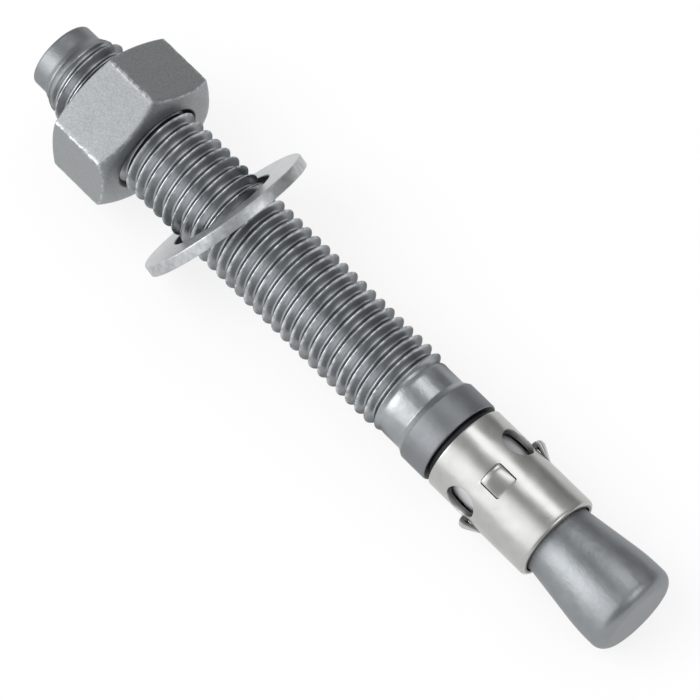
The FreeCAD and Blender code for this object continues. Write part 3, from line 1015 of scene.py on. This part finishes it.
def make_world():
    """Soft even light all round, and a background that shows and reflects white."""
    world = bpy.data.worlds.new("studio")
    bpy.context.scene.world = world
    world.use_nodes = True
    tree = world.node_tree
    tree.nodes.clear()
    path = add_node(tree, "ShaderNodeLightPath")
    direct = add_node(tree, "ShaderNodeMath", {
        0: path.outputs["Is Camera Ray"], 1: path.outputs["Is Glossy Ray"]}, operation="MAXIMUM")
    seen = add_node(tree, "ShaderNodeMath", {
        0: direct.outputs[0], 1: path.outputs["Is Transmission Ray"]}, operation="MAXIMUM")
    soft = add_node(tree, "ShaderNodeBackground", {"Color": (1, 1, 1, 1), "Strength": 0.8})
    white = add_node(tree, "ShaderNodeBackground", {"Color": (1, 1, 1, 1), "Strength": 1.0})
    surface = add_node(tree, "ShaderNodeMixShader", {
        0: seen.outputs[0], 1: soft.outputs[0], 2: white.outputs[0]})
    add_node(tree, "ShaderNodeOutputWorld", {"Surface": surface.outputs[0]})


# The light tent that the metal's reflections see. Angles are degrees from straight overhead,
# positive away from the camera, and places along the tent are metres. A panel's blur and fade
# are how softly it ends round the tent and along it.
TENT_DISTANCE = 0.8
TENT_HALF_LENGTH = 1.6
TENT_ANGLE_STEP = 3
TENT_STEP = 0.02
TENT_END_MARGIN = 0.05
TENT_GLOW = 0.48
NUT_END_GLOW = 0.17
CONE_END_GLOW = 0.4
TENT_PANELS = {
    "key": dict(glow=1.2, angles=(-115, -31), blur=7, reach=(-2.0, 0.33), fade=0.12),
    "key_by_nut": dict(glow=2.8, angles=(-80, -40), blur=8, reach=(-0.6, -0.28), fade=0.05),
    "overhead": dict(glow=3.1, angles=(6, 33), blur=5, reach=(-0.21, -0.01), fade=0.04),
    "overhead_by_cone": dict(glow=2.1, angles=(4, 36), blur=5, reach=(0.4, 1.3), fade=0.08),
    "far_shade": dict(glow=-0.2, angles=(64, 120), blur=7, reach=(-0.35, 2.0), fade=0.1),
}


def soft_band(value, ends, softness):
    """1 between two ends and 0 outside them, with soft edges."""
    return (math.tanh((value - ends[0]) / softness) - math.tanh((value - ends[1]) / softness)) / 2


def tent_glow(angle, x):
    """How brightly the tent glows at a place: its own glow and what each panel adds or takes."""
    glow = TENT_GLOW
    for panel in TENT_PANELS.values():
        glow += (panel["glow"] * soft_band(angle, panel["angles"], panel["blur"])
                 * soft_band(x, panel["reach"], panel["fade"]))
    return glow


def make_glowing_sheet(name, points, faces, glows):
    """Part of the tent: only reflections see it, each point as bright as its glow."""
    mesh = bpy.data.meshes.new(name)
    mesh.from_pydata(points, [], faces)
    mesh.attributes.new("glow", "FLOAT", "POINT").data.foreach_set("value", glows)
    sheet = bpy.data.objects.new(name, mesh)
    bpy.context.scene.collection.objects.link(sheet)
    material = bpy.data.materials.new(name)
    material.use_nodes = True
    tree = material.node_tree
    tree.nodes.clear()
    glow = add_node(tree, "ShaderNodeAttribute", attribute_name="glow")
    light = add_node(tree, "ShaderNodeEmission", {"Color": (1, 1, 1, 1), "Strength": glow.outputs["Fac"]})
    add_node(tree, "ShaderNodeOutputMaterial", {"Surface": light.outputs[0]})
    mesh.materials.append(material)
    sheet.visible_camera = False
    sheet.visible_diffuse = False
    sheet.visible_shadow = False
    sheet.visible_transmission = False


def make_tent():
    """A sheet curved round the anchor from floor to floor, and one across each end."""
    points, faces, glows = [], [], []
    angles = spaced([-90, 90], TENT_ANGLE_STEP)
    places = spaced([-TENT_HALF_LENGTH, TENT_HALF_LENGTH], TENT_STEP)
    for angle in angles:
        for x in places:
            turn = math.radians(angle)
            points.append((x, TENT_DISTANCE * math.sin(turn), TENT_DISTANCE * math.cos(turn)))
            glows.append(tent_glow(angle, x))
    for i in range(len(angles) - 1):
        for j in range(len(places) - 1):
            corner = i * len(places) + j
            faces.append((corner, corner + 1, corner + len(places) + 1, corner + len(places)))
    make_glowing_sheet("tent", points, faces, glows)
    wide = TENT_DISTANCE + TENT_END_MARGIN
    for name, x, glow in (("nut_end", -TENT_HALF_LENGTH, NUT_END_GLOW),
                          ("cone_end", TENT_HALF_LENGTH, CONE_END_GLOW)):
        end = [(x, -wide, 0), (x, wide, 0), (x, wide, wide), (x, -wide, wide)]
        make_glowing_sheet("tent_" + name, end, [(0, 1, 2, 3)], [glow] * 4)


SOFT_BOX_PLACE = Vector((-0.3, -0.6, 0.9))
SOFT_BOX_SIDE = 0.8
SOFT_BOX_WATTS = 6.0


def make_soft_box():
    """The lamp that casts the anchor's faint shadow. It faces the anchor, and the metal doesn't
    reflect it."""
    data = bpy.data.lights.new("soft_box", "AREA")
    data.shape = "SQUARE"
    data.size = SOFT_BOX_SIDE
    data.energy = SOFT_BOX_WATTS
    lamp = bpy.data.objects.new("soft_box", data)
    bpy.context.scene.collection.objects.link(lamp)
    lamp.location = SOFT_BOX_PLACE
    lamp.rotation_euler = SOFT_BOX_PLACE.to_track_quat("Z", "Y").to_euler()
    lamp.visible_glossy = False


make_camera()
make_floor()
make_world()
make_soft_box()
make_tent()

bpy.context.scene.view_settings.view_transform = "Standard"
